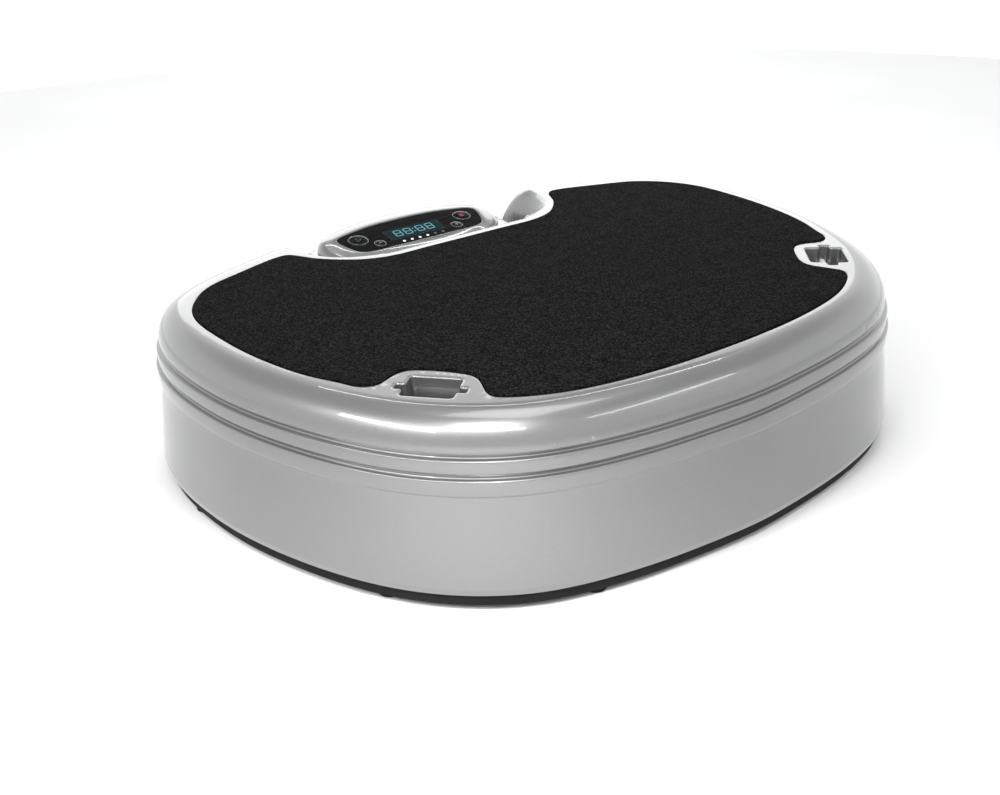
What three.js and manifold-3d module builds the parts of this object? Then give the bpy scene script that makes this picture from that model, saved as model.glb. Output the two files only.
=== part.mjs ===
// A compact whole-body vibration plate, in millimetres, +Z up, front towards -Y.
// The origin is on the floor, under the middle of the shell.
// A black base pan on rubber feet carries four rubber isolators. They carry the platform: steel deck,
// silver shell, mat, console and two motors whose eccentric weights turn in opposite ways.
import * as THREE from "three";
import { mergeVertices } from "three/addons/utils/BufferGeometryUtils.js";
import Module from "manifold-3d";

const wasm = await Module();
wasm.setup();

// ---- Driving dimensions ----
const HEIGHT = 165; // floor to the top of the mat
const GAP = 0.3; // between touching pieces
const SHELL_BOTTOM = 18;
const WALL = 3.5; // thickness of the moulded shell
const SHELL_TOP = HEIGHT - 1.4;
const BAND_TOP = 135.6; // where the dome meets the first band
const DOME_WIDTH = 26; // from the dome's widest line in to the flat rim
const MAT_THICK = 4;
const MAT_BOTTOM = HEIGHT - MAT_THICK;
const LEDGE_WIDTH = 12; // how far the shell reaches under the mat
const LEDGE_THICK = 4.2;
const DECK_THICK = 6;
const FOOT_HEIGHT = 6.3;
const FOOT_RADIUS = 9.5;
const PAN_BOTTOM = FOOT_HEIGHT + GAP;
const PAN_FLOOR_TOP = PAN_BOTTOM + 3;
const PAN_STEP = 15.5; // where the pan's wall steps in to pass inside the shell
const PAN_TOP = 34;
const SEAT_Z = 138; // where the console stands on the shell
const RECESS_FLOOR = 110; // bottom of the two hand holds
const CONSOLE_TILT = Math.atan(0.1916); // the console leans towards the user
const CONSOLE_Y = 227;
const CONSOLE_Z = 148.5;
const POD_ROUND = 11; // how far the console housing's edge curls over
const CONSOLE_RIM = 0.3; // how far the housing stands above the black panel
const PANEL_THICK = 3;
const BUTTON_PROUD = 0.5;
const ISOLATOR_RADIUS = 18;
const ISOLATOR_TOP = 58;
const BEAM = { x: 235, half: 18, thick: 5, front: -110, back: 165 };
const MOTOR_Y = 62; // each motor's axis, either side of the middle
const MOTOR_Z = 105;
const MOTOR_RADIUS = 42;
const MOTOR_LENGTH = 110;
const SHAFT_RADIUS = 7;
const WEIGHT_RADIUS = 32;
const WEIGHT_THICK = 24;
const HUB_RADIUS = 14; // of an eccentric weight, round its shaft
const STRAP = { x: 229.8, y: -156, turn: 0.853, long: 41.8, wide: 35, floor: 130 };
const STRAP_EAR = { long: 57, wide: 9, shift: -2 };
const STRAP_BAR_RADIUS = 4;
const POWER = { x: 40, bottom: 14, top: 60, y: 285 }; // the plate for the mains inlet and the rocker
const INLET = { x: -20, half: 14, tall: 11 };
const SWITCH = { x: 19, half: 11, tall: 12.5 };
const POWER_Z = 40; // middle height of both
const POWER_FACE = POWER.y + 1.5; // how far both stand out at the back
const ROCKER_TILT = 0.14;
const STANDOFF_HEIGHT = 8;

// ---- Outlines in plan, right half from front to back, y along the symmetry axis ----
const SHELL_HALF = [
  [0, -293], [57, -289.5], [114, -282.5], [171, -269.5], [211, -253.5], [251, -225.5], [286, -186.5],
  [314, -137.5], [337, -77.5], [350, -26.5], [356, 19.5], [357.5, 64.5], [354, 102], [347, 132],
  [333, 163.5], [306, 192.5], [266, 217.5], [212, 239.5], [160, 257.5], [100, 277], [50, 289], [0, 293],
];
const MAT_HALF = [
  [0, -247.5], [97, -241.5], [160, -226.5], [198, -205], [203.5, -197], [193.5, -167], [195, -155],
  [225, -119.5], [238, -118], [260, -125.5], [271, -120], [280, -101.5], [293, -72.5], [305, -26.5],
  [311.5, 24.5], [311, 93.5], [298, 128.5], [271, 159.5], [229, 178.5], [180, 195], [169, 194],
  [151, 163.5], [126, 137.5], [106, 126.5], [86, 122], [43, 122], [0, 122],
];
const POD_HALF = [
  [0, 187], [60, 187.5], [84, 192], [100, 203], [108.5, 219], [111, 235], [108, 249], [100, 259.5],
  [87, 266.5], [46, 277], [0, 280.7],
];
// The console panel, measured on its own tilted face.
const PANEL_HALF = [
  [0, -26.4], [38, -26.2], [70, -25.6], [79, -21.4], [84.5, -12.7], [89.3, 2], [90, 7.1], [88.5, 12.7],
  [84, 15.8], [67, 20.4], [49, 23.9], [28, 26.2], [0, 26.7],
];
// One hand hold: [x, y] at the top of the shell, then [x, y] at its floor. It is open at the back.
const HAND_HOLD = [
  [114, 310, 117, 310], [114, 250, 117, 250], [113, 210, 116, 214], [106, 184, 114, 196],
  [94, 160, 112, 182], [88, 142, 114, 172], [96, 132.5, 122, 168], [121, 145, 129, 172],
  [138, 160, 134, 180], [151, 183.6, 137, 194], [159, 206, 138, 210], [162, 230, 138, 250],
  [162, 310, 138, 310],
];
// The shell's bands from the bottom up: [height, how far inside the bottom outline].
const SHELL_TIERS = [
  [SHELL_BOTTOM, 1.5], [24, 0], [100.8, 8.3], [101.8, 6.8], [114.9, 6.6], [115.4, 11], [119.2, 9.6],
  [119.7, 8.8], [130.3, 9], [130.8, 14], [BAND_TOP, 12],
];
const CAVITY_TIERS = [
  [SHELL_BOTTOM - 4, 4.3], [24, WALL], [98, 11.8], [112, 14.5], [131, 17.5], [BAND_TOP + 4, 17.5],
];
const FEET = [
  [341, 56], [281, -158], [151, -256], [250, 195],
];
const ISOLATORS_Y = [-85, 140];
const STANDOFFS = [[60, -40], [60, 40], [170, -40], [170, 40]];
// An isolator's profile: [share of its radius, share of its height].
const WAISTED = [[0, 0], [1, 0], [1, 0.12], [0.8, 0.3], [0.8, 0.7], [1, 0.88], [1, 1], [0, 1]];

// ---- Materials ----
const paint = (color, roughness, metalness) =>
  new THREE.MeshStandardMaterial({ color, roughness, metalness });
const silver = paint(0xb9bab9, 0.3, 0.6);
const black = paint(0x1b1b1c, 0.6, 0);
const gloss = paint(0x08080a, 0.1, 0);
const rubber = paint(0x161616, 0.9, 0);
const matting = paint(0x242425, 0.95, 0);
const steel = paint(0x9a9da0, 0.4, 0.9);
const darkSteel = paint(0x55585b, 0.45, 0.9);
const castIron = paint(0x3d3f42, 0.6, 0.8);
const board = paint(0x14532d, 0.5, 0);
const glow = paint(0xcfe8ff, 0.3, 0);
const tinted = paint(0x0a1416, 0.05, 0);

// ---- Outline helpers ----
// A smooth closed outline, from its right half and the mirror image of it, anticlockwise.
function mirrored(half, perSpan) {
  const right = half.map(([x, y]) => new THREE.Vector3(x, y, 0));
  const left = half.slice(1, -1).reverse().map(([x, y]) => new THREE.Vector3(-x, y, 0));
  return smooth([...right, ...left], perSpan);
}

function smooth(points, perSpan) {
  const curve = new THREE.CatmullRomCurve3(points, true, "centripetal");
  const samples = curve.getPoints(points.length * perSpan).slice(0, -1);
  return samples.map((p) => new THREE.Vector2(p.x, p.y));
}

// Each point moved inwards along the outline's own normal (outwards when distance is negative).
// distance is a number, or a function of the point's index.
function inset(points, distance) {
  const at = typeof distance === "function" ? distance : () => distance;
  return points.map((p, i) => {
    const before = points[(i + points.length - 1) % points.length];
    const after = points[(i + 1) % points.length];
    const along = after.clone().sub(before).normalize();
    return new THREE.Vector2(p.x - along.y * at(i), p.y + along.x * at(i));
  });
}

function distanceTo(points, q) {
  const closest = new THREE.Vector3();
  const target = new THREE.Vector3(q.x, q.y, 0);
  const distances = points.map((p, i) => {
    const next = points[(i + 1) % points.length];
    const edge = new THREE.Line3(new THREE.Vector3(p.x, p.y, 0), new THREE.Vector3(next.x, next.y, 0));
    return edge.closestPointToPoint(target, true, closest).distanceTo(target);
  });
  return Math.min(...distances);
}

// A true inner offset: points that a tight corner would throw past each other are left out.
function shrunk(points, distance) {
  return inset(points, distance).filter((q) => distanceTo(points, q) > 0.98 * distance);
}

// ---- Solid helpers ----
function solid(geometry) {
  const bare = geometry.index ? geometry.toNonIndexed() : geometry.clone();
  bare.deleteAttribute("normal");
  bare.deleteAttribute("uv");
  const merged = mergeVertices(bare, 1e-4);
  const vertProperties = merged.attributes.position.array;
  const triVerts = new Uint32Array(merged.index.array);
  return new wasm.Manifold(new wasm.Mesh({ numProp: 3, vertProperties, triVerts }));
}

function geometryOf(manifold) {
  const mesh = manifold.getMesh();
  const geometry = new THREE.BufferGeometry();
  geometry.setAttribute("position", new THREE.BufferAttribute(new Float32Array(mesh.vertProperties), 3));
  geometry.setIndex(new THREE.BufferAttribute(new Uint32Array(mesh.triVerts), 1));
  geometry.computeVertexNormals();
  return geometry;
}

// A closed solid through rings of equally many points, bottom ring first, all anticlockwise.
function loft(rings) {
  const count = rings[0].length;
  const positions = rings.flat().flatMap((p) => [p.x, p.y, p.z]);
  const faces = [];
  for (let r = 0; r + 1 < rings.length; r++) {
    for (let i = 0; i < count; i++) {
      const a = r * count + i;
      const b = r * count + ((i + 1) % count);
      faces.push(a, b, b + count, a, b + count, a + count);
    }
  }
  const cap = (ring) =>
    THREE.ShapeUtils.triangulateShape(ring.map((p) => new THREE.Vector2(p.x, p.y)), []);
  const top = (rings.length - 1) * count;
  for (const [a, b, c] of cap(rings[0])) faces.push(a, c, b);
  for (const [a, b, c] of cap(rings.at(-1))) faces.push(top + a, top + b, top + c);
  const geometry = new THREE.BufferGeometry();
  geometry.setAttribute("position", new THREE.Float32BufferAttribute(positions, 3));
  geometry.setIndex(faces);
  return geometry;
}

const lift = (points, z) => points.map((p) => new THREE.Vector3(p.x, p.y, z));

function prism(points, bottom, top) {
  return loft([lift(points, bottom), lift(points, top)]);
}

function box(x0, x1, y0, y1, z0, z1) {
  const geometry = new THREE.BoxGeometry(x1 - x0, y1 - y0, z1 - z0);
  return geometry.translate((x0 + x1) / 2, (y0 + y1) / 2, (z0 + z1) / 2);
}

// A cylinder standing along Z.
function post(radius, x, y, bottom, top, sides = 20) {
  const geometry = new THREE.CylinderGeometry(radius, radius, top - bottom, sides);
  return geometry.rotateX(Math.PI / 2).translate(x, y, (bottom + top) / 2);
}

// A profile of [radius, distance along X] turned about the X axis and moved to its place.
function turned(profile, y, z, sides = 20) {
  const points = profile.map(([r, x]) => new THREE.Vector2(r, x));
  return new THREE.LatheGeometry([...points, points[0]], sides).rotateZ(-Math.PI / 2).translate(0, y, z);
}

const join = (...parts) => parts.map(solid).reduce((a, b) => a.add(b));
const cut = (base, ...tools) => tools.reduce((a, b) => a.subtract(b), base);

const group = new THREE.Group();

function add(name, shape, material, parent = group) {
  const geometry = shape.isBufferGeometry ? shape : geometryOf(shape);
  const mesh = new THREE.Mesh(geometry, material);
  mesh.name = name;
  parent.add(mesh);
  return mesh;
}

// Which side a piece is on, and its sign along X.
const SIDES = [["left", -1], ["right", 1]];

const shellOutline = mirrored(SHELL_HALF, 2);
const matOutline = mirrored(MAT_HALF, 2);

// ---- Shell ----
// Rings of a quarter ellipse from a dome's widest line up to its flat top.
function domeTiers(bottom, side, width, height, steps) {
  return Array.from({ length: steps }, (_, i) => {
    const angle = ((i + 1) / steps) * (Math.PI / 2);
    return [bottom + height * Math.sin(angle), side + width * (1 - Math.cos(angle))];
  });
}

const tiered = (tiers) => loft(tiers.map(([z, distance]) => lift(inset(shellOutline, distance), z)));

// One hand hold as a solid to cut away, grown by margin for the inside of the wall.
function handHold(sign, margin) {
  const ring = (dx, z) => {
    const corners = HAND_HOLD.map((p) => new THREE.Vector3(p[dx], p[dx + 1], 0));
    const outline = inset(smooth(corners, 2), -margin);
    const placed = outline.map((p) => new THREE.Vector2(sign * p.x, p.y));
    return lift(sign > 0 ? placed : placed.reverse(), z);
  };
  return solid(loft([ring(2, RECESS_FLOOR - margin), ring(0, SHELL_TOP), ring(0, HEIGHT + 10)]));
}

// The ramp from the rim behind the mat down to the console's seat, grown by margin.
function consoleRamp(margin) {
  const slope = [
    [130, HEIGHT + 10], [130, SHELL_TOP], [142, SHELL_TOP - 3.6], [157, SHELL_TOP - 11.6],
    [172, SEAT_Z + 3.4], [186, SEAT_Z], [320, SEAT_Z], [320, HEIGHT + 10],
  ];
  const profile = new THREE.Shape(slope.map(([y, z]) => new THREE.Vector2(y - margin * 0.4, z - margin)));
  const wide = new THREE.ExtrudeGeometry(profile, { depth: 260, bevelEnabled: false });
  wide.applyMatrix4(new THREE.Matrix4().makeBasis(
    new THREE.Vector3(0, 1, 0), new THREE.Vector3(0, 0, 1), new THREE.Vector3(1, 0, 0)));
  wide.translate(-130, 0, 0);
  const half = [[84, 128], [102, 160], [117, 190], [117, 320]];
  const plan = [...half, ...half.map(([x, y]) => [-x, y]).reverse()];
  const corners = plan.map(([x, y]) => new THREE.Vector2(x + Math.sign(x) * margin, y - margin));
  return solid(wide).intersect(solid(prism(corners, 100, HEIGHT + 20)));
}

function rectangle(long, wide, shift = 0) {
  return [[-1, -1], [1, -1], [1, 1], [-1, 1]].map(
    ([a, b]) => new THREE.Vector2((a * long) / 2, (b * wide) / 2 + shift));
}

// Places a geometry made at the origin, with the slot's length along X, at one strap slot.
function atStrapSlot(geometry, sign) {
  geometry.rotateZ(STRAP.turn).translate(STRAP.x, STRAP.y, 0);
  if (sign > 0) return solid(geometry);
  return solid(geometry).mirror([1, 0, 0]);
}

function strapSlot(sign, margin) {
  const grow = 2 * margin;
  const mouth = rectangle(STRAP.long + grow, STRAP.wide + grow);
  const ears = rectangle(STRAP_EAR.long + grow, STRAP_EAR.wide + grow, STRAP_EAR.shift);
  const [mouthSolid, earSolid] = [mouth, ears].map(
    (corners) => atStrapSlot(prism(corners, STRAP.floor - margin, HEIGHT + 10), sign));
  return mouthSolid.add(earSolid);
}

const shellOuter = solid(tiered([
  ...SHELL_TIERS,
  ...domeTiers(BAND_TOP, 12, DOME_WIDTH, SHELL_TOP - BAND_TOP, 5),
]));
const cavityTop = MAT_BOTTOM - GAP - LEDGE_THICK;
const cavityBody = solid(tiered([
  ...CAVITY_TIERS,
  ...domeTiers(BAND_TOP + 4, 17.5, DOME_WIDTH - 4, cavityTop - BAND_TOP - 4, 3),
]));
const cavity = cut(
  cavityBody,
  consoleRamp(WALL),
  ...SIDES.flatMap(([, sign]) => [handHold(sign, WALL), strapSlot(sign, WALL - 1)]),
);
const matHole = solid(prism(inset(matOutline, -0.5), MAT_BOTTOM - GAP, HEIGHT + 10));
const ledgeHole = solid(prism(shrunk(matOutline, LEDGE_WIDTH), 140, HEIGHT + 10));
const powerOpening = solid(box(-POWER.x - 6, POWER.x + 6, 265, 310, 24, POWER.top + 4));
const shell = cut(
  shellOuter,
  cavity,
  matHole,
  ledgeHole,
  powerOpening,
  consoleRamp(0),
  ...SIDES.flatMap(([, sign]) => [handHold(sign, 0), strapSlot(sign, 0)]),
);
add("shell", shell, silver);

// ---- Mat and deck ----
const matRings = [[MAT_BOTTOM, 0], [HEIGHT - 0.8, 0], [HEIGHT, 0.8]];
add("mat", loft(matRings.map(([z, d]) => lift(inset(matOutline, d), z))), matting);

const deckTop = cavityTop - GAP;
const deckBottom = deckTop - DECK_THICK;
add(
  "deck_plate",
  join(
    prism(shrunk(matOutline, 4), deckBottom, deckTop),
    prism(shrunk(matOutline, LEDGE_WIDTH + 1), deckBottom + 1, MAT_BOTTOM - GAP),
  ),
  steel,
);

// ---- Steel channels under the deck, and the isolators that carry them ----
// A steel channel along Y, open towards the middle of the plate.
function channel(sign) {
  const bottom = ISOLATOR_TOP + GAP;
  const top = deckBottom - GAP;
  const web = box(BEAM.half - BEAM.thick, BEAM.half, BEAM.front, BEAM.back, bottom, top);
  const flanges = [bottom, top - BEAM.thick].map(
    (z) => box(-BEAM.half, BEAM.half - 1, BEAM.front, BEAM.back, z, z + BEAM.thick));
  const profile = join(web, ...flanges).translate([BEAM.x, 0, 0]);
  return sign > 0 ? profile : profile.mirror([1, 0, 0]);
}

for (const [side, sign] of SIDES) {
  add("beam_" + side, channel(sign), darkSteel);
  ISOLATORS_Y.forEach((y, i) => {
    const name = side + "_" + ["front", "rear"][i];
    const bottom = PAN_FLOOR_TOP + GAP;
    const points = WAISTED.map(
      ([r, t]) => new THREE.Vector2(r * ISOLATOR_RADIUS, t * (ISOLATOR_TOP - bottom)));
    const isolator = new THREE.LatheGeometry(points, 16).rotateX(Math.PI / 2);
    add("isolator_" + name, isolator.translate(sign * BEAM.x, y, bottom), rubber);
    add("isolator_bolt_" + name, post(6, sign * BEAM.x, y, PAN_BOTTOM - 3.4, PAN_BOTTOM - GAP, 6), steel);
  });
}

// ---- Motors and rotors ----
for (const [which, y] of [["front", -MOTOR_Y], ["rear", MOTOR_Y]]) {
  const half = MOTOR_LENGTH / 2;
  const bore = SHAFT_RADIUS + 0.25;
  const bell = MOTOR_RADIUS - 5;
  const housing = [
    [bore, -half], [bell, -half], [bell, 10 - half], [MOTOR_RADIUS, 10 - half],
    [MOTOR_RADIUS, half - 10], [bell, half - 10], [bell, half], [bore, half],
  ];
  add("motor_" + which, turned(housing, y, MOTOR_Z), castIron);
  const arch = box(-30, 30, y - 48, y + 48, MOTOR_Z + 4, deckBottom - GAP);
  const seat = turned([[0, -40], [MOTOR_RADIUS + GAP, -40], [MOTOR_RADIUS + GAP, 40], [0, 40]], y, MOTOR_Z);
  add("motor_clamp_" + which, cut(solid(arch), solid(seat)), darkSteel);
  const shaftEnd = half + 32;
  const shaft = turned(
    [[0, -shaftEnd], [SHAFT_RADIUS, -shaftEnd], [SHAFT_RADIUS, shaftEnd], [0, shaftEnd]], y, MOTOR_Z);
  add("rotor_shaft_" + which, shaft, steel);
  for (const [side, sign] of SIDES) {
    const outline = new THREE.Shape();
    outline.absarc(0, 0, WEIGHT_RADIUS, Math.PI, 2 * Math.PI, false);
    outline.lineTo(HUB_RADIUS, 0);
    outline.absarc(0, 0, HUB_RADIUS, 0, Math.PI, false);
    const hole = new THREE.Path().absarc(0, 0, SHAFT_RADIUS + GAP, 0, 2 * Math.PI, true);
    outline.holes.push(hole);
    const weight = new THREE.ExtrudeGeometry(outline, {
      depth: WEIGHT_THICK, bevelEnabled: false, curveSegments: 8,
    });
    weight.rotateX(Math.PI / 2).rotateZ(Math.PI / 2);
    const start = sign > 0 ? half + 5 : -half - 5 - WEIGHT_THICK;
    add("eccentric_" + which + "_" + side, weight.translate(start, y, MOTOR_Z), castIron);
  }
}

// ---- Strap anchors: a steel bar across each slot, held by the ears of the pocket ----
for (const [side, sign] of SIDES) {
  const length = STRAP_EAR.long - 2 * GAP;
  const bar = new THREE.CylinderGeometry(STRAP_BAR_RADIUS, STRAP_BAR_RADIUS, length, 16);
  bar.rotateZ(Math.PI / 2).translate(0, STRAP_EAR.shift, SHELL_TOP - 18);
  add("strap_bar_" + side, atStrapSlot(bar, sign), steel);
}

// ---- Console ----
const consolePlane = (y) => CONSOLE_Z + CONSOLE_RIM + Math.tan(CONSOLE_TILT) * (y - CONSOLE_Y);
const podBase = mirrored(POD_HALF, 2);
const podFloor = SEAT_Z + GAP;
const podInsets = podBase.map((p) => Math.min(POD_ROUND, consolePlane(p.y) - podFloor + 1));
const podTop = inset(podBase, (i) => podInsets[i]);

function podRing(angle) {
  const ring = inset(podBase, (i) => podInsets[i] * (1 - Math.cos(angle)));
  return ring.map((p, i) => {
    const height = consolePlane(podTop[i].y) - podFloor;
    const curve = Math.min(POD_ROUND, height - 1);
    return new THREE.Vector3(p.x, p.y, podFloor + height - curve + curve * Math.sin(angle));
  });
}

const consoleFrame = new THREE.Group();
consoleFrame.position.set(0, CONSOLE_Y, CONSOLE_Z);
consoleFrame.rotation.x = CONSOLE_TILT;
consoleFrame.updateMatrix();
group.add(consoleFrame);

const panelOutline = mirrored(PANEL_HALF, 2);
const onConsole = (geometry) => solid(geometry.applyMatrix4(consoleFrame.matrix));
const pod = cut(
  solid(loft([lift(podBase, podFloor), ...[0, 30, 60, 90].map((d) => podRing((d * Math.PI) / 180))])),
  onConsole(prism(inset(panelOutline, -GAP), -PANEL_THICK - GAP, 10)),
  onConsole(prism(shrunk(panelOutline, 5), -40, 0)),
);
add("console_housing", pod, silver);

const BUTTONS = [
  ["start", -68, 2.5, 10], ["stop", 68, 2.5, 9.2], ["minus", -50, -14, 5.6], ["plus", 50, -14, 5.6],
];
const LEDS = Array.from({ length: 6 }, (_, i) => 1.5 + (i - 2.5) * 10.15);
const LED_Y = -21;
const DISPLAY = { y: -3, wide: 70, tall: 22 };

const displayHole = rectangle(DISPLAY.wide, DISPLAY.tall, DISPLAY.y);
const panel = cut(
  solid(prism(panelOutline, -PANEL_THICK, 0)),
  solid(prism(displayHole, -9, 9)),
  ...BUTTONS.map(([, x, y, radius]) => solid(post(radius + 0.35, x, y, -9, 9, 24))),
  ...LEDS.map((x) => solid(post(1.9, x, LED_Y, -9, 9, 12))),
);
add("console_panel", panel, gloss, consoleFrame);
BUTTONS.forEach(([name, x, y, radius]) => {
  add("button_" + name, post(radius, x, y, -3.9, BUTTON_PROUD, 24), gloss, consoleFrame);
});
LEDS.forEach((x, i) => {
  add("led_" + (i + 1), post(1.6, x, LED_Y, -PANEL_THICK, 0.15, 12), glow, consoleFrame);
});
const windowOutline = rectangle(DISPLAY.wide - 2 * GAP, DISPLAY.tall - 2 * GAP, DISPLAY.y);
add("display_window", prism(windowOutline, -1.4, 0), tinted, consoleFrame);
add("display_module", box(-33, 33, -12.5, 6.5, -4.7, -1.7), black, consoleFrame);
add("console_board", box(-57, 57, -11, 15, -6.6, -5), board, consoleFrame);

// ---- Base ----
const panParts = [
  prism(inset(shellOutline, 5), PAN_BOTTOM, PAN_STEP),
  prism(inset(shellOutline, 6.5), PAN_STEP - 0.5, PAN_TOP),
];
const panHollow = prism(inset(shellOutline, 9.5), PAN_FLOOR_TOP, PAN_TOP + 10);
const standoffs = STANDOFFS.map(
  ([x, y]) => solid(post(5, x, y, PAN_FLOOR_TOP - 1, PAN_FLOOR_TOP + STANDOFF_HEIGHT, 12)));
const panGap = box(-POWER.x - GAP, POWER.x + GAP, 270, 300, POWER.bottom - GAP, PAN_TOP + 10);
const pan = standoffs.reduce((a, b) => a.add(b), cut(join(...panParts), solid(panHollow), solid(panGap)));
add("base_pan", pan, black);

for (const [side, sign] of SIDES) {
  FEET.forEach(([x, y], i) => {
    const profile = [
      [0, 0], [FOOT_RADIUS - 1.5, 0], [FOOT_RADIUS, 2], [FOOT_RADIUS, FOOT_HEIGHT], [0, FOOT_HEIGHT],
    ];
    const foot = new THREE.LatheGeometry(profile.map(([r, z]) => new THREE.Vector2(r, z)), 16);
    add("foot_" + side + "_" + (i + 1), foot.rotateX(Math.PI / 2).translate(sign * x, y, 0), rubber);
  });
}

const boardBottom = PAN_FLOOR_TOP + STANDOFF_HEIGHT + GAP;
add("control_board", box(50, 180, -52, 52, boardBottom, boardBottom + 1.7), board);
add("motor_driver", box(-180, -50, -45, 45, PAN_FLOOR_TOP + GAP, PAN_FLOOR_TOP + 38), steel);

// ---- Mains inlet and power rocker, on a plate in the pan's rear wall ----
// A box round the middle of the inlet or the switch, grown by margin across the plate.
function powerBox({ x, half, tall }, margin, front, back) {
  return solid(box(x - half - margin, x + half + margin, front, back,
    POWER_Z - tall - margin, POWER_Z + tall + margin));
}

const plate = cut(
  solid(box(-POWER.x, POWER.x, POWER.y - 4, POWER.y, POWER.bottom, POWER.top)),
  powerBox(INLET, GAP, 270, 300),
  powerBox(SWITCH, GAP, 270, 300),
);
add("power_plate", plate, black);

const pins = [[-7, -1], [0, 3], [7, -1]].map(([dx, dz]) => solid(box(
  INLET.x + dx - 1, INLET.x + dx + 1, POWER_FACE - 20, POWER_FACE - 3,
  POWER_Z + dz - 2, POWER_Z + dz + 2)));
const inlet = cut(
  powerBox(INLET, 0, POWER_FACE - 26, POWER_FACE),
  powerBox(INLET, -2, POWER_FACE - 18, POWER_FACE + 5),
);
add("mains_inlet", pins.reduce((a, b) => a.add(b), inlet), black);

const housing = cut(
  powerBox(SWITCH, 0, POWER_FACE - 22, POWER_FACE),
  powerBox(SWITCH, -2, POWER_FACE - 12, POWER_FACE + 5),
);
add("switch_housing", housing, black);

// The rocker's face is a shallow V, tilted to its off side. It turns about an axis along X.
const rockerTall = SWITCH.tall - 3.2;
const rockerShape = new THREE.Shape([
  [-4, -rockerTall], [3, -rockerTall], [1.7, 0], [3, rockerTall], [-4, rockerTall],
].map(([y, z]) => new THREE.Vector2(y, z)));
const rocker = new THREE.ExtrudeGeometry(rockerShape, { depth: 17, bevelEnabled: false });
rocker.applyMatrix4(new THREE.Matrix4().makeBasis(
  new THREE.Vector3(0, 1, 0), new THREE.Vector3(0, 0, 1), new THREE.Vector3(1, 0, 0)));
rocker.translate(-8.5, 0, 0).rotateX(ROCKER_TILT / 2);
add("power_rocker", rocker.translate(SWITCH.x, POWER_FACE - 3, POWER_Z), gloss);

export default group;
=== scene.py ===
import math

import bmesh
import bpy
import numpy as np
from mathutils import Matrix, Vector
from mathutils.geometry import delaunay_2d_cdt


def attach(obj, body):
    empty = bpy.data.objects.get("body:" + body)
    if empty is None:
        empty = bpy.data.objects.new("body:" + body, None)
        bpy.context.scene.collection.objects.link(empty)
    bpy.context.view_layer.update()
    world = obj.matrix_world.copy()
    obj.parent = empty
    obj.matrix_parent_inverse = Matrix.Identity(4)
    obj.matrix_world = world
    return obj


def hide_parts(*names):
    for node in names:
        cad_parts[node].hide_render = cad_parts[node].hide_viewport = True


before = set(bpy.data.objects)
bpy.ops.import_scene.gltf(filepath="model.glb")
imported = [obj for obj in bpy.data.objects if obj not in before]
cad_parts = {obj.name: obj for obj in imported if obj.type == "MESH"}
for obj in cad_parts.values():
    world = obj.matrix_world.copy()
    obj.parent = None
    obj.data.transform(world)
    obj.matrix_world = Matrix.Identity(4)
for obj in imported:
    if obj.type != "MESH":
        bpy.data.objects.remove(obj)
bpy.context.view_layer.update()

# A compact whole-body vibration plate. Shapes are worked out in millimetres, in the frame's own
# axes (+Z up, front towards -Y), and scaled to metres when a mesh is made.
MM = 0.001

# ---- Driving dimensions ----
MAT_TOP = 165.0
MAT_BOTTOM = 161.0
RIM = 163.6  # the shell's flat rim round the mat
DOME_EDGE = 135.6  # where the dome meets the bands
DOME_START = 12.0  # how far inside the bottom outline the dome begins
DOME_WIDTH = 26.0
SEAT = 138.0  # where the console stands
HOLD_FLOOR = 110.0  # bottom of the two hand holds
SKIN = 2.6  # thickness of the moulded shell
STRAP_X, STRAP_Y, STRAP_TURN = 229.8, -156.0, 0.853
STRAP_FLOOR = 130.0
BAR_RADIUS, BAR_LENGTH, BAR_SHIFT, BAR_DEPTH = 4.0, 56.4, -2.0, 18.0
MAT_LIP, SLOT_LIP = 1.1, 1.8  # how far the rim rolls over into the mat's recess and the strap slots
CONSOLE_Y, CONSOLE_Z = 227.0, 148.5
CONSOLE_TILT = math.atan(0.1916)
POD_ROUND = 11.0
POD_TURN = math.radians(74)  # how far the housing's edge curls over before its gently domed top
PAN_BOTTOM, PAN_TOP, PAN_STEP = 6.6, 34.0, 15.5
POWER_FACE = 285.0  # front of the power plate
POWER_HALF = 40.3  # half the gap that the tray and the flange leave for the power plate
ROCKER_X, ROCKER_Y, ROCKER_Z = 19.0, POWER_FACE - 1.5, 40.0  # the rocker's axle
ROCKER_REST = 0.07  # its lean at rest, in radians
WINDOW_HALF, WINDOW_BOTTOM, WINDOW_TOP = 46.0, 25.0, 64.0  # the shell's opening round the power panel
FEET = [(341, 56), (281, -158), (151, -256), (250, 195)]
SCREWS = [(300, 100), (250, -195), (60, -262), (190, 225)]

SIDES = (("left", -1), ("right", 1))

# Outlines in plan, right half from front to back, as in the frame.
SHELL_HALF = [
    (0, -293), (57, -289.5), (114, -282.5), (171, -269.5), (211, -253.5), (251, -225.5), (286, -186.5),
    (314, -137.5), (337, -77.5), (350, -26.5), (356, 19.5), (357.5, 64.5), (354, 102), (347, 132),
    (333, 163.5), (306, 192.5), (266, 217.5), (212, 239.5), (160, 257.5), (100, 277), (50, 289), (0, 293),
]
MAT_HALF = [
    (0, -247.5), (97, -241.5), (160, -226.5), (198, -205), (203.5, -197), (193.5, -167), (195, -155),
    (225, -119.5), (238, -118), (260, -125.5), (271, -120), (280, -101.5), (293, -72.5), (305, -26.5),
    (311.5, 24.5), (311, 93.5), (298, 128.5), (271, 159.5), (229, 178.5), (180, 195), (169, 194),
    (151, 163.5), (126, 137.5), (106, 126.5), (86, 122), (43, 122), (0, 122),
]
POD_HALF = [
    (0, 187), (60, 187.5), (84, 192), (100, 203), (108.5, 219), (111, 235), (108, 249), (100, 259.5),
    (87, 266.5), (46, 277), (0, 280.7),
]
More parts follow.
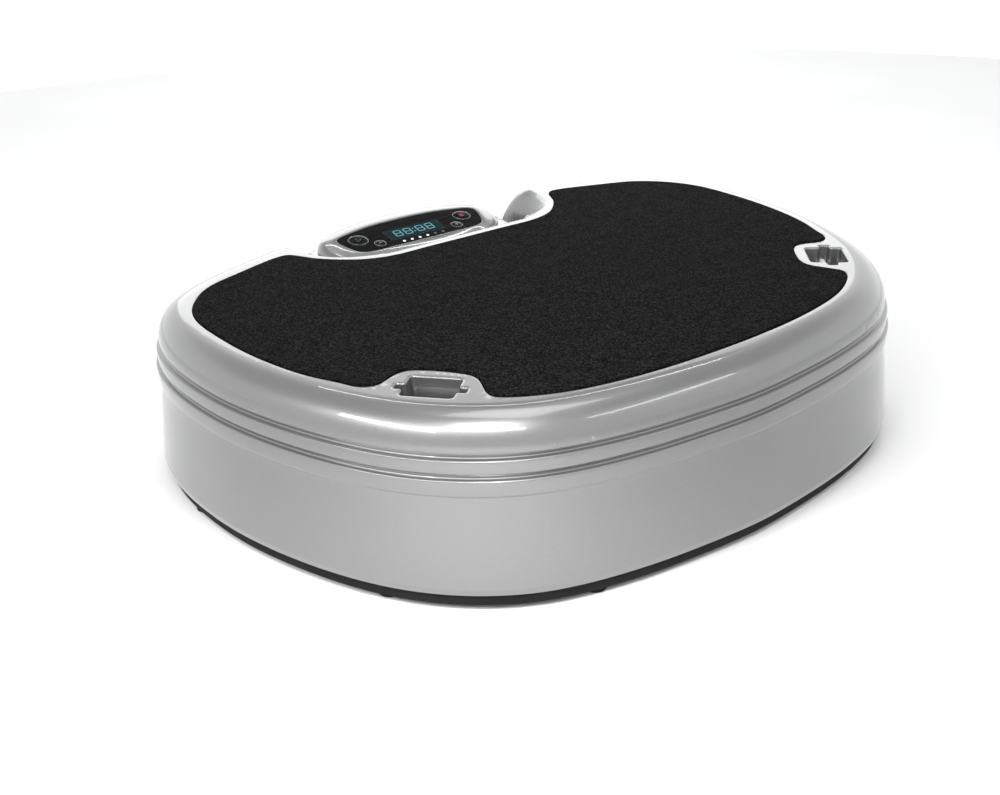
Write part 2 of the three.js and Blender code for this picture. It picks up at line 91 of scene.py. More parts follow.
PANEL_HALF = [
    (0, -26.4), (38, -26.2), (70, -25.6), (79, -21.4), (84.5, -12.7), (89.3, 2), (90, 7.1), (88.5, 12.7),
    (84, 15.8), (67, 20.4), (49, 23.9), (28, 26.2), (0, 26.7),
]
# One hand hold: x, y at the top of the shell, then x, y at its floor. It is open at the back.
HAND_HOLD = [
    (114, 310, 117, 310), (114, 250, 117, 250), (113, 210, 116, 214), (106, 184, 114, 196),
    (94, 160, 112, 182), (88, 142, 114, 172), (96, 132.5, 122, 168), (121, 145, 129, 172),
    (138, 160, 134, 180), (151, 183.6, 137, 194), (159, 206, 138, 210), (162, 230, 138, 250),
    (162, 310, 138, 310),
]
# The wall's bands from the bottom up: how far inside the bottom outline, and height.
WALL_BANDS = [
    (2.4, 18), (1.4, 18), (0, 24), (8.3, 100.8), (6.8, 101.8), (6.6, 114.9), (11, 115.4), (9.6, 119.2),
    (8.8, 119.7), (9, 130.3), (14, 130.8), (DOME_START, DOME_EDGE),
]
# How far inside the bottom outline the dome's rings of points lie, closest where it curves most.
DOME_RINGS = [12.03, 12.2, 12.6, 13.3, 14.3, 15.6, 17.2, 19.1, 21.3, 23.8, 26.6, 29.6, 32.8, 36, 38.5, 41.5]


# ---- Curves in plan ----
def catmull(points, per_span=24):
    """A closed centripetal Catmull-Rom curve through the points."""
    p = np.array(points, float)
    shares = np.arange(per_span) / per_span
    spans = []
    for i in range(len(p)):
        a, b, c, d = (p[(i + k) % len(p)] for k in (-1, 0, 1, 2))
        ta, tb, tc = (max(np.linalg.norm(v) ** 0.5, 1e-4) for v in (b - a, c - b, d - c))
        out = tb * ((b - a) / ta - (c - a) / (ta + tb) + (c - b) / tb)
        back = tb * ((c - b) / tb - (d - b) / (tb + tc) + (d - c) / tc)
        t = shares[:, None]
        bend, twist = -3 * b + 3 * c - 2 * out - back, 2 * b - 2 * c + out + back
        spans.append(b + out * t + bend * t**2 + twist * t**3)
    return np.concatenate(spans)


def resample(points, count, density=None):
    """The closed curve at count points, evenly spaced or closer together where density is higher."""
    closed = np.vstack([points, points[:1]])
    steps = np.linalg.norm(np.diff(closed, axis=0), axis=1)
    if density is not None:
        steps = steps * density((closed[:-1] + closed[1:]) / 2)
    along = np.concatenate([[0], np.cumsum(steps)])
    wanted = np.arange(count) * along[-1] / count
    return np.stack([np.interp(wanted, along, closed[:, k]) for k in range(closed.shape[1])], axis=1)


def faired(points, width):
    """The evenly spaced closed curve with its small kinks ironed out over width, at its own size."""
    step = np.linalg.norm(points[1] - points[0])
    turns = np.fft.fftfreq(len(points), d=step)[:, None]
    keep = np.exp(-2 * (math.pi * turns * width) ** 2)
    keep = 1 - (1 - keep) ** 2  # what one pass takes off, a second pass puts back
    return np.fft.ifft(np.fft.fft(points, axis=0) * keep, axis=0).real


def mirrored(half):
    return list(half) + [(-x, y) for x, y in reversed(half[1:-1])]


def outline(half, count, fairing, density=None):
    fine = faired(resample(catmull(mirrored(half)), 4 * count), fairing)
    return resample(fine, count, density)


def outward(points):
    """The outward normal at each point of an anticlockwise outline."""
    along = np.roll(points, -1, axis=0) - np.roll(points, 1, axis=0)
    along /= np.linalg.norm(along, axis=1)[:, None]
    return np.stack([along[:, 1], -along[:, 0]], axis=1)


def inset(points, distance):
    """The outline moved inwards by distance, a number or one for each point."""
    return points - outward(points) * np.reshape(distance, (-1, 1))


def rounded(corners, radius, steps=4):
    """A polygon with each corner turned into a small arc; radius is a number or one for each corner."""
    p = [np.array(c, float) for c in corners]
    radii = radius if hasattr(radius, "__len__") else [radius] * len(p)
    path = []
    for i, corner in enumerate(p):
        path += arc_at(p[i - 1], corner, p[(i + 1) % len(p)], radii[i], steps)
    return np.array(path)


def arc_at(before, corner, after, radius, steps):
    """Points that round one corner of a path."""
    into, away = corner - before, after - corner
    reach_in, reach_out = np.linalg.norm(into), np.linalg.norm(away)
    into, away = into / reach_in, away / reach_out
    turn = math.acos(max(-1.0, min(1.0, float(into @ away))))
    if turn < 1e-3 or radius <= 0:
        return [corner]
    reach = min(radius * math.tan(turn / 2), 0.48 * reach_in, 0.48 * reach_out)
    start, end = corner - into * reach, corner + away * reach
    return [
        (1 - t) ** 2 * start + 2 * t * (1 - t) * corner + t**2 * end
        for t in (k / steps for k in range(steps + 1))
    ]


def rounded_path(points, radius, steps=3):
    """An open path with its inner corners rounded."""
    p = [np.array(c, float) for c in points]
    path = [p[0]]
    for i in range(1, len(p) - 1):
        path += arc_at(p[i - 1], p[i], p[i + 1], radius, steps)
    return np.array(path + [p[-1]])


def circle(x, y, radius, count=48):
    angles = np.arange(count) * 2 * math.pi / count
    return np.stack([x + radius * np.cos(angles), y + radius * np.sin(angles)], axis=1)


def inside(q, loop):
    """Which of the points q lie inside the loop."""
    a, b = loop, np.roll(loop, -1, axis=0)
    result = np.zeros(len(q), bool)
    for start in range(0, len(q), 4000):
        x, y = q[start:start + 4000, 0:1], q[start:start + 4000, 1:2]
        crosses = (a[:, 1] > y) != (b[:, 1] > y)
        rise = np.where(a[:, 1] == b[:, 1], 1.0, b[:, 1] - a[:, 1])
        at = a[:, 0] + (y - a[:, 1]) * (b[:, 0] - a[:, 0]) / rise
        result[start:start + 4000] = (crosses & (x < at)).sum(axis=1) % 2 == 1
    return result


def distance(q, loop):
    """How far each of the points q is from the closed loop."""
    a = loop
    edge = np.roll(loop, -1, axis=0) - a
    square = (edge**2).sum(axis=1)
    result = np.empty(len(q))
    for start in range(0, len(q), 2000):
        away = q[start:start + 2000, None, :] - a
        share = np.clip((away * edge).sum(axis=2) / square, 0, 1)
        gap = away - share[..., None] * edge
        result[start:start + 2000] = np.sqrt((gap**2).sum(axis=2).min(axis=1))
    return result


def fade(low, high, x):
    """0 below low, 1 above high, and a smooth step between."""
    t = np.clip((x - low) / (high - low), 0, 1)
    return t * t * (3 - 2 * t)


# ---- Mesh building ----
class Skin:
    """Points and faces of one piece, in millimetres."""

    def __init__(self):
        self.points = []
        self.faces = []

    def add(self, points):
        first = len(self.points)
        self.points += [tuple(p) for p in points]
        return list(range(first, len(self.points)))

    def ring(self, plan, height):
        heights = np.broadcast_to(height, (len(plan),))
        return self.add(np.column_stack([plan, heights]))

    def bridge(self, lower, upper):
        """Quads from one closed ring to the next, facing out when both are anticlockwise."""
        count = len(lower)
        for i in range(count):
            k = (i + 1) % count
            self.faces.append((lower[i], lower[k], upper[k], upper[i]))

    def loft(self, rings, close=False):
        for lower, upper in zip(rings, rings[1:]):
            self.bridge(lower, upper)
        if close:
            self.bridge(rings[-1], rings[0])

    def cap(self, ring, down=False):
        self.faces.append(tuple(reversed(ring)) if down else tuple(ring))

    def fill(self, plan, height, loops, keep, down=False):
        """Triangles over the plan points with the loops of their numbers as edges.
        keep says which triangles stay, from their centres. Returns where each plan point went."""
        edges = [(loop[i], loop[(i + 1) % len(loop)]) for loop in loops for i in range(len(loop))]
        made = delaunay_2d_cdt([Vector(p) for p in plan], edges, [], 0, 1e-5)
        flat = np.array([tuple(v) for v in made[0]])
        triangles = np.array(made[2])
        triangles = triangles[keep(flat[triangles].mean(axis=1))]
        numbers = self.ring(flat, height(flat) if callable(height) else height)
        for a, b, c in triangles:
            face = (numbers[a], numbers[b], numbers[c])
            self.faces.append(face[::-1] if down else face)
        place = {}
        for number, sources in zip(numbers, made[3]):
            for source in sources:
                place[source] = number
        return place


def place_mesh(name, skin, transform=None):
    mesh = bpy.data.meshes.new(name)
    points = np.array(skin.points) * MM
    if transform is not None:
        turned = np.array(transform)
        points = points @ turned[:3, :3].T + turned[:3, 3]
    mesh.from_pydata(points.tolist(), [], skin.faces)
    mesh.validate()
    return mesh


def piece(name, skin, body, material, replaces=(), transform=None, sharp=35):
    """One finished piece: its mesh, its sharp edges, its material and the body that it rides on."""
    mesh = place_mesh(name, skin, transform)
    thing = bpy.data.objects.new(name, mesh)
    bpy.context.scene.collection.objects.link(thing)
    drop_loose_points(mesh)
    mesh.shade_smooth()
    mesh.set_sharp_from_angle(angle=math.radians(sharp))
    mesh.materials.append(material)
    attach(thing, body)
    if replaces:
        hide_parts(*replaces)
    return thing


def drop_loose_points(mesh):
    """Drops points that no face uses."""
    work = bmesh.new()
    work.from_mesh(mesh)
    bmesh.ops.delete(work, geom=[v for v in work.verts if not v.link_faces], context="VERTS")
    work.to_mesh(mesh)
    work.free()


def apply_modifiers(thing):
    evaluated = thing.evaluated_get(bpy.context.evaluated_depsgraph_get())
    mesh = bpy.data.meshes.new_from_object(evaluated)
    thing.modifiers.clear()
    thing.data = mesh


def thicken(thing, thickness):
    """Gives an open skin a wall, inwards."""
    wall = thing.modifiers.new("wall", "SOLIDIFY")
    wall.thickness = thickness * MM
    wall.offset = -1
    wall.use_even_offset = False
    apply_modifiers(thing)


def slab(skin, outer, holes, bottom, top, edge=0.5, steps=3):
    """A flat plate with holes, its upper edges rounded by edge."""
    loops = [outer] + [h[::-1] for h in holes]
    lowered = [inset(outer, edge)] + [inset(h, -edge)[::-1] for h in holes]
    plan = np.concatenate(lowered)
    numbers = []
    first = 0
    for loop in lowered:
        numbers.append(list(range(first, first + len(loop))))
        first += len(loop)

    upper = skin.fill(plan, top, numbers, lambda c: keep_between(c, lowered))
    lower_plan = np.concatenate(loops)
    lower = skin.fill(lower_plan, bottom, numbers, lambda c: keep_between(c, loops), down=True)
    for loop, inner, ids in zip(loops, lowered, numbers):
        rings = [[lower[i] for i in ids]]
        for k in range(steps):
            turn = math.pi / 2 * k / steps
            share = 1 - math.cos(turn)
            rings.append(skin.ring(loop + (inner - loop) * share, top - edge + edge * math.sin(turn)))
        rings.append([upper[i] for i in ids])
        skin.loft(rings)


def keep_between(centres, loops):
    """Which centres lie inside the first loop and in none of the others."""
    ok = inside(centres, loops[0])
    for hole in loops[1:]:
        ok &= ~inside(centres, hole)
    return ok


def turned(profile, count=48):
    """Rings of a profile of (radius, height) turned about Z at the origin."""
    skin = Skin()
    rings = []
    for radius, height in profile:
        rings.append(skin.ring(circle(0, 0, max(radius, 0.01), count), height))
    skin.loft(rings)
    skin.cap(rings[0], down=True)
    skin.cap(rings[-1])
    return skin


# ---- Materials ----
class Finish:
    """A node material with one principled shader, in the object's own coordinates."""

    def __init__(self, name, **values):
        self.material = bpy.data.materials.new(name)
        self.material.use_nodes = True
        self.tree = self.material.node_tree
        self.shader = self.tree.nodes["Principled BSDF"]
        for socket, value in values.items():
            self.shader.inputs[socket.replace("_", " ")].default_value = value

    def node(self, kind, **values):
        made = self.tree.nodes.new(kind)
        for key, value in values.items():
            if hasattr(made, key):
                setattr(made, key, value)
            else:
                made.inputs[key.replace("_", " ")].default_value = value
        return made

    def link(self, source, target):
        self.tree.links.new(source, target)

    def place(self):
        return self.node("ShaderNodeTexCoord").outputs["Object"]

    def noise(self, scale, detail=2.0, rough=0.5, stretch=None):
        """Fractal noise with scale features in a metre."""
        made = self.node("ShaderNodeTexNoise", Scale=scale, Detail=detail, Roughness=rough)
        source = self.place()
        if stretch:
            mapping = self.node("ShaderNodeMapping")
            mapping.inputs["Scale"].default_value = stretch
            self.link(source, mapping.inputs["Vector"])
            source = mapping.outputs["Vector"]
        self.link(source, made.inputs["Vector"])
        return made.outputs["Fac"]

    def ramp(self, source, *stops):
        """Colours or greys at places along source; each stop is (place, colour)."""
        made = self.node("ShaderNodeValToRGB")
        elements = made.color_ramp.elements
        while len(elements) < len(stops):
            elements.new(0.5)
        for element, (at, colour) in zip(elements, stops):
            element.position = at
            element.color = (*colour, 1) if hasattr(colour, "__len__") else (colour, colour, colour, 1)
        self.link(source, made.inputs["Fac"])
        return made.outputs["Color"]

    def colour(self, source):
        self.link(source, self.shader.inputs["Base Color"])
        return self

    def rough(self, source):
        self.link(source, self.shader.inputs["Roughness"])
        return self

    def bump(self, source, depth, strength=1.0, before=None):
        """Relief of depth millimetres."""
        made = self.node("ShaderNodeBump", Strength=strength, Distance=depth * MM)
        self.link(source, made.inputs["Height"])
        if before:
            self.link(before.outputs["Normal"], made.inputs["Normal"])
        self.link(made.outputs["Normal"], self.shader.inputs["Normal"])
        return made


def silver_paint():
    """Metallic silver under clear lacquer: fine flakes, a faint ripple in the lacquer."""
    f = Finish("silver_paint", Metallic=0.8, Coat_Weight=1.0, Coat_Roughness=0.035, Coat_IOR=1.5)
    flakes = f.noise(2600, 2, 0.7)
    f.colour(f.ramp(flakes, (0.3, (0.155, 0.157, 0.154)), (0.7, (0.205, 0.207, 0.203))))
    f.rough(f.ramp(f.noise(14, 2, 0.5), (0.3, 0.30), (0.7, 0.36)))
    f.bump(f.noise(900, 2, 0.5), 0.012, 0.12)
    return f.material


def grip_mat():
    """Black foamed rubber with a fine pebbled grain."""
    f = Finish("grip_mat", Specular_IOR_Level=0.03)
    grain = f.noise(560, 4, 0.8)
    f.colour(f.ramp(grain, (0.42, 0.0005), (0.5, 0.003), (0.60, 0.019)))
    f.rough(f.ramp(f.noise(60, 2, 0.5), (0.3, 0.82), (0.7, 0.92)))
    coarse = f.bump(f.noise(420, 2, 0.5), 0.10, 0.35)
    f.bump(grain, 0.25, 0.6, before=coarse)
    return f.material


def moulded_plastic(name, grey, rough, grain=1100, depth=0.05):
    f = Finish(name, Specular_IOR_Level=0.14)
    f.colour(f.ramp(f.noise(30, 3, 0.6), (0.3, grey * 0.8), (0.7, grey * 1.2)))
    f.rough(f.ramp(f.noise(90, 3, 0.6), (0.3, rough - 0.06), (0.7, rough + 0.06)))
    f.bump(f.noise(grain, 2, 0.5), depth, 0.5)
    return f.material


def black_gloss():
    """Piano-black polycarbonate, with the faint haze that it has from wiping."""
    f = Finish("black_gloss", Coat_Weight=0.4, Coat_Roughness=0.03, Specular_IOR_Level=0.2)
    f.colour(f.ramp(f.noise(25, 2, 0.5), (0.3, 0.0025), (0.7, 0.0045)))
    f.rough(f.ramp(f.noise(40, 3, 0.6, stretch=(1, 6, 1)), (0.35, 0.10), (0.7, 0.18)))
    return f.material


def metal(name, colour, rough, grain=(1, 1, 1), scale=400, metallic=1.0):
    """Bare metal, brushed where grain stretches the noise."""
    f = Finish(name, Metallic=metallic)
    lines = f.noise(scale, 3, 0.6, stretch=grain)
    dark = tuple(c * 0.82 for c in colour)
    f.colour(f.ramp(lines, (0.3, dark), (0.7, colour)))
    f.rough(f.ramp(lines, (0.3, rough - 0.07), (0.7, rough + 0.07)))
    f.bump(lines, 0.02, 0.4)
    return f.material


def cast_iron(name, grey):
    f = Finish(name, Metallic=0.6)
    lumps = f.noise(500, 4, 0.7)
    f.colour(f.ramp(f.noise(40, 4, 0.7), (0.3, grey * 0.7), (0.7, grey * 1.3)))
    f.rough(f.ramp(lumps, (0.3, 0.5), (0.7, 0.7)))
    f.bump(lumps, 0.25, 0.7)
    return f.material


def circuit_board():
    f = Finish("circuit_board", Roughness=0.4, Coat_Weight=0.6)
    tracks = f.noise(160, 1, 0.2, stretch=(1, 0.2, 1))
    f.colour(f.ramp(tracks, (0.48, (0.006, 0.07, 0.025)), (0.52, (0.02, 0.13, 0.05))))
    f.bump(f.noise(700, 1, 0.3), 0.03, 0.5)
    return f.material


def glow(name, colour, strength, body=1.0):
    """A lit surface, slightly uneven as a moulded light guide is; body is how light it is when off."""
    f = Finish(name, Roughness=0.4, Specular_IOR_Level=0.2)
    grain = f.noise(500, 2, 0.5)
    lit = f.ramp(grain, (0.35, tuple(c * 0.88 for c in colour)), (0.65, colour))
    low, high = (tuple(c * body * share for c in colour) for share in (0.88, 1))
    f.colour(f.ramp(grain, (0.35, low), (0.65, high)))
    f.link(lit, f.shader.inputs["Emission Color"])
    f.shader.inputs["Emission Strength"].default_value = strength
    return f.material


def flat_ink(name, colour, rough=0.35):
    f = Finish(name)
    dim = tuple(c * 0.85 for c in colour)
    f.colour(f.ramp(f.noise(600, 2, 0.6), (0.3, dim), (0.7, colour)))
    f.rough(f.ramp(f.noise(200, 2, 0.5), (0.3, rough - 0.05), (0.7, rough + 0.05)))
    return f.material


SILVER = silver_paint()
MATTING = grip_mat()
PLASTIC = moulded_plastic("black_plastic", 0.006, 0.65)
FOOT_RUBBER = moulded_plastic("foot_rubber", 0.008, 0.8, 700, 0.12)
GLOSS = black_gloss()
STEEL = metal("zinc_steel", (0.50, 0.51, 0.53), 0.33, (1, 1, 1), 260)
DARK_STEEL = metal("painted_steel", (0.05, 0.052, 0.055), 0.42, (1, 1, 1), 700, 0.3)
DECK_METAL = metal("deck_aluminium", (0.55, 0.56, 0.57), 0.36, (1, 0.05, 1), 900)
# The strap bars' near-white, half-metallic colour is painted sheen: it stands in for the reflection that the
# steel bar shows in its slot.
BAR_PAINTED_SHEEN = metal("bar_painted_sheen", (0.88, 0.89, 0.90), 0.38, (1, 1, 1), 500, 0.35)
IRON = cast_iron("cast_iron", 0.06)
WEIGHT_IRON = cast_iron("weight_iron", 0.16)
BOARD = circuit_board()
RING_SILVER = metal("ring_silver", (0.55, 0.56, 0.57), 0.25, (1, 1, 1), 900)


# ---- The shell ----
def notch_density(middles):
    """More points where the hand holds cross the outline."""
    x, y = np.abs(middles[:, 0]), middles[:, 1]
    near = ((x > 106) & (x < 170) & (y > 200)).astype(float)
    return 1 + 3.2 * near


def with_window_edges(points):
    """The outline with its nearest points moved onto the sides of the power panel's opening."""
    for side in (-WINDOW_HALF, WINDOW_HALF):
        gaps = np.where(points[:, 1] > 0, np.abs(points[:, 0] - side), np.inf)
        points[np.argmin(gaps), 0] = side
    return points


SHELL = with_window_edges(outline(SHELL_HALF, 680, 16, notch_density))
SHELL_EDGE = inset(SHELL, DOME_START)
MAT = outline(MAT_HALF, 620, 2.2)
HOLD_TOP = catmull([(x, y) for x, y, _, _ in HAND_HOLD], 8)
HOLD_BASE = catmull([(x, y) for _, _, x, y in HAND_HOLD], 8)
HOLD_SHARES = [
    0, 0.004, 0.012, 0.03, 0.055, 0.085, 0.12, 0.17, 0.23, 0.3, 0.38, 0.47, 0.57, 0.68, 0.8, 0.92, 1.0,
]


def dome_height(depth):
    """Height of the dome at a distance in from the bottom outline."""
    share = np.clip((DOME_START + DOME_WIDTH - depth) / DOME_WIDTH, 0, 1)
    return DOME_EDGE + (RIM - DOME_EDGE) * np.sqrt(1 - share**2)


def ramp_share(q):
    """1 on the shell's rim, falling to 0 on the console's seat."""
    x, y = np.abs(q[:, 0]), q[:, 1]
    down = (1 - np.cos(np.pi * np.clip((y - 128) / 58, 0, 1))) / 2
    edge = np.interp(y, [128, 160, 190, 320], [84, 102, 117, 117])
    return 1 - down * (1 - fade(edge - 4, edge + 8, x))


def hold_share(q):
    """0 on the floor of a hand hold, rising to 1 at its top edge and beyond."""
    right = np.column_stack([np.abs(q[:, 0]), q[:, 1]])
    share = np.ones(len(q))
    within = inside(right, HOLD_TOP)
    if within.any():
        low = np.where(inside(right[within], HOLD_BASE), 0, distance(right[within], HOLD_BASE))
        share[within] = low / (low + distance(right[within], HOLD_TOP) + 1e-9)
    return share


def shell_height(q, depth=None):
    """Height of the shell's top surface over points in plan."""
    depth = distance(q, SHELL) if depth is None else depth
    dome = dome_height(depth)
    height = np.minimum(dome, SEAT + (dome - SEAT) * ramp_share(q))
    share = hold_share(q)
    rise = np.sqrt(1 - (1 - share) ** 2) * fade(0, 0.1, share)
    return HOLD_FLOOR + (height - HOLD_FLOOR) * rise


def hold_points(sign):
    """Points along curves of equal height in one hand hold."""
    curves = []
    for wanted in HOLD_SHARES:
        low, high = np.zeros(len(HOLD_TOP)), np.ones(len(HOLD_TOP))
        for _ in range(12):
            middle = (low + high) / 2
            share = hold_share(HOLD_BASE + (HOLD_TOP - HOLD_BASE) * middle[:, None])
            low, high = np.where(share < wanted, middle, low), np.where(share < wanted, high, middle)
        curves.append(HOLD_BASE + (HOLD_TOP - HOLD_BASE) * ((low + high) / 2)[:, None])
    points = np.concatenate([*curves, inset(HOLD_TOP, -1.5), inset(HOLD_TOP, -4)])
    return points * (sign, 1)


def strap_outline(sign, grow=0.0):
    """The strap slot with an ear at each end, which holds the bar."""
    long, wide, ear_long, ear_wide = 20.9, 17.5, 28.5, 4.5
    low, high = BAR_SHIFT - ear_wide, BAR_SHIFT + ear_wide
    corners = [
        (-long, -wide), (long, -wide), (long, low), (ear_long, low), (ear_long, high), (long, high),
        (long, wide), (-long, wide), (-long, high), (-ear_long, high), (-ear_long, low), (-long, low),
    ]
    radii = [4, 4, 3, 2, 2, 3, 4, 4, 3, 2, 2, 3]
    loop = inset(resample(rounded(corners, radii, 6), 240), -grow)
    across, along = math.cos(STRAP_TURN), math.sin(STRAP_TURN)
    placed = loop @ np.array([[across, along], [-along, across]]) + (STRAP_X, STRAP_Y)
    return placed if sign > 0 else (placed * (-1, 1))[::-1]


def shell_top(skin):
    """The dome, the rim, the console's ramp and seat, and the hand holds, as one surface."""
    mat_hole = inset(MAT, -0.5 - MAT_LIP)
    slots = [strap_outline(sign, SLOT_LIP) for _, sign in SIDES]
    families = [SHELL_EDGE, mat_hole, *slots]
    loops, first = [], 0
    for family in families:
        loops.append(list(range(first, first + len(family))))
        first += len(family)
    loose = []
    for depth in DOME_RINGS:
        ring = inset(SHELL, depth)
        rear = (ring[:, 1] > 120) & ((hold_share(ring) < 0.995) | (ramp_share(ring) < 0.98))
        loose.append(ring[~rear])
    loose += [hold_points(sign) for _, sign in SIDES]
    x, y = np.meshgrid(np.arange(-170, 171, 4.0), np.arange(124, 292, 3.0))
    grid = np.column_stack([x.ravel(), y.ravel()])
    loose.append(grid[(hold_share(grid) > 0.999)])
    loose.append(inset(MAT, -0.5 - MAT_LIP - 1.5)[::2])
    loose += [strap_outline(sign, SLOT_LIP + 1.5)[::2] for _, sign in SIDES]
    x, y = np.meshgrid(np.arange(-330, 331, 9.0), np.arange(-260, 250, 9.0))
    loose.append(np.column_stack([x.ravel(), y.ravel()]))
    loose = np.concatenate(loose)
    ok = inside(loose, SHELL_EDGE) & ~inside(loose, mat_hole)
    for slot in slots:
        ok &= ~inside(loose, slot)
    for family, gap in zip(families, (0.02, 0.7, 0.7, 0.7)):
        ok[ok] = distance(loose[ok], family) > gap
    plan = np.concatenate([*families, thinned(loose[ok], 0.1)])
    place = skin.fill(plan, shell_height, loops, lambda c: keep_between(c, families))
    rings = [[place[i] for i in loop] for loop in loops]
    return rings, mat_hole, slots


def thinned(points, gap):
    """The points without those closer than about gap to an earlier one."""
    cells = np.round(points / gap).astype(int)
    _, first = np.unique(cells, axis=0, return_index=True)
    return points[np.sort(first)]


def lip(skin, ring, plan, radius, bottom, fillet=0.0):
    """A rounded edge and a wall down into a hole, from its ring on the rim; the plan is anticlockwise."""
    rings = [ring]
    for turn in np.radians([22, 45, 67, 90]):
        rings.append(skin.ring(inset(plan, radius * math.sin(turn)), RIM - radius * (1 - math.cos(turn))))
    for turn in np.radians([0, 30, 60, 90] if fillet else [0]):
        edge = radius + fillet * (1 - math.cos(turn))
        rings.append(skin.ring(inset(plan, edge), bottom + fillet * (1 - math.sin(turn))))
    for upper, lower in zip(rings, rings[1:]):
        skin.bridge(upper, lower)
    return rings[-1]


def wall_profile():
    """The wall's section from the bottom up, as (inset, height), with its straight stretch divided."""
    path = rounded_path(WALL_BANDS, 1.5, 3)[:-1]
    (low_in, low), (high_in, high) = WALL_BANDS[2:4]
    steps = [low + (high - low) * k / 6 for k in range(1, 6)] + [WINDOW_TOP]
    straight = [(low_in + (high_in - low_in) * (z - low) / (high - low), z) for z in sorted(steps)]
    below = [p for p in path if p[1] < straight[0][1]]
    return np.array(below + straight + [p for p in path if p[1] > straight[-1][1]])


def shell_wall(skin, edge_ring):
    """The banded wall below the dome; at the hand holds it stops at their floor."""
    floor = shell_height(SHELL_EDGE, np.full(len(SHELL), DOME_START))
    low = floor < DOME_EDGE - 0.5
    rings = []
    for depth, height in wall_profile():
        over = np.maximum(height - floor, 0) * low
        share = np.clip(over / np.maximum(DOME_EDGE - floor, 1e-6), 0, 1)
        start = np.interp(floor, [100.8, 101.8, 114.9, DOME_EDGE], [8.3, 6.8, 6.6, 6.6])
        level = np.where(over > 0, start + (DOME_START - start) * share**0.5, depth)
        edge = 1.2 * np.clip(1 - share * 6, 0, 1) * low * (over > 0)
        top = np.where(low, np.minimum(height, floor - edge), height)
        rings.append(skin.ring(inset(SHELL, level), top))
    rings.append(edge_ring)
    before = len(skin.faces)
    skin.loft(rings)
    wall = skin.faces[before:]
    skin.faces[before:] = [face for face in wall if not in_window(skin, face)]


def in_window(skin, face):
    """Whether a wall face lies in the opening for the power panel."""
    x, y, z = np.mean([skin.points[i] for i in face], axis=0)
    return y > 0 and abs(x) < WINDOW_HALF and WINDOW_BOTTOM < z < WINDOW_TOP


def make_shell():
    skin = Skin()
    (edge, mat_ring, *slot_rings), mat_hole, slots = shell_top(skin)
    lip(skin, mat_ring, mat_hole, MAT_LIP, MAT_BOTTOM - 0.3)
    for ring, plan in zip(slot_rings, slots):
        skin.cap(lip(skin, ring, plan, SLOT_LIP, STRAP_FLOOR, fillet=2.0))
    shell_wall(skin, edge)
    thing = piece("shell_skin", skin, "platform", SILVER, ["shell"], sharp=40)
    thicken(thing, SKIN)
    thing.data.set_sharp_from_angle(angle=math.radians(40))


make_shell()


# ---- The mat ----
def make_mat():
    skin = Skin()
    rings = [skin.ring(inset(MAT, 0.8), MAT_BOTTOM), skin.ring(MAT, MAT_BOTTOM + 0.8)]
    for turn in np.radians([0, 22, 45, 67, 90]):
        rings.append(skin.ring(inset(MAT, 1.2 * (1 - math.cos(turn))), MAT_TOP - 1.2 + 1.2 * math.sin(turn)))
    rings.append(skin.ring(inset(MAT, 1.6), MAT_TOP))
    skin.loft(rings)
    skin.cap(rings[0], down=True)
    skin.cap(rings[-1])
    piece("mat_sheet", skin, "platform", MATTING, ["mat"])


make_mat()


# ---- Strap bars ----
def make_strap_bar(side, sign):
    half = BAR_LENGTH / 2
    chamfer = 0.6
    skin = turned([
        (BAR_RADIUS - chamfer, -half), (BAR_RADIUS, -half + chamfer),
        (BAR_RADIUS, half - chamfer), (BAR_RADIUS - chamfer, half),
    ])
    along = Matrix.Rotation(math.pi / 2, 4, "Y")
    local = Matrix.Translation((0, BAR_SHIFT * MM, (RIM - BAR_DEPTH) * MM)) @ along
    turn = Matrix.Rotation(sign * STRAP_TURN, 4, "Z")
    shift = Matrix.Translation((sign * STRAP_X * MM, STRAP_Y * MM, 0))
    piece("strap_rod_" + side, skin, "platform", BAR_PAINTED_SHEEN, ["strap_bar_" + side],
          transform=shift @ turn @ local)


for side, sign in SIDES:
    make_strap_bar(side, sign)


# ---- The console ----
ON_CONSOLE = Matrix.Translation((0, CONSOLE_Y * MM, CONSOLE_Z * MM)) @ Matrix.Rotation(CONSOLE_TILT, 4, "X")
POD = outline(POD_HALF, 300, 5)
PANEL = outline(PANEL_HALF, 300, 1.5)


def console_plane(y):
    return CONSOLE_Z + 0.3 + math.tan(CONSOLE_TILT) * (y - CONSOLE_Y)


def tilted(plan, height):
    """Points of the console's own face, as points of the frame."""
    slope, rise = math.cos(CONSOLE_TILT), math.sin(CONSOLE_TILT)
    y = CONSOLE_Y + plan[:, 1] * slope - height * rise
    z = CONSOLE_Z + plan[:, 1] * rise + height * slope
    return np.column_stack([plan[:, 0], y, z])


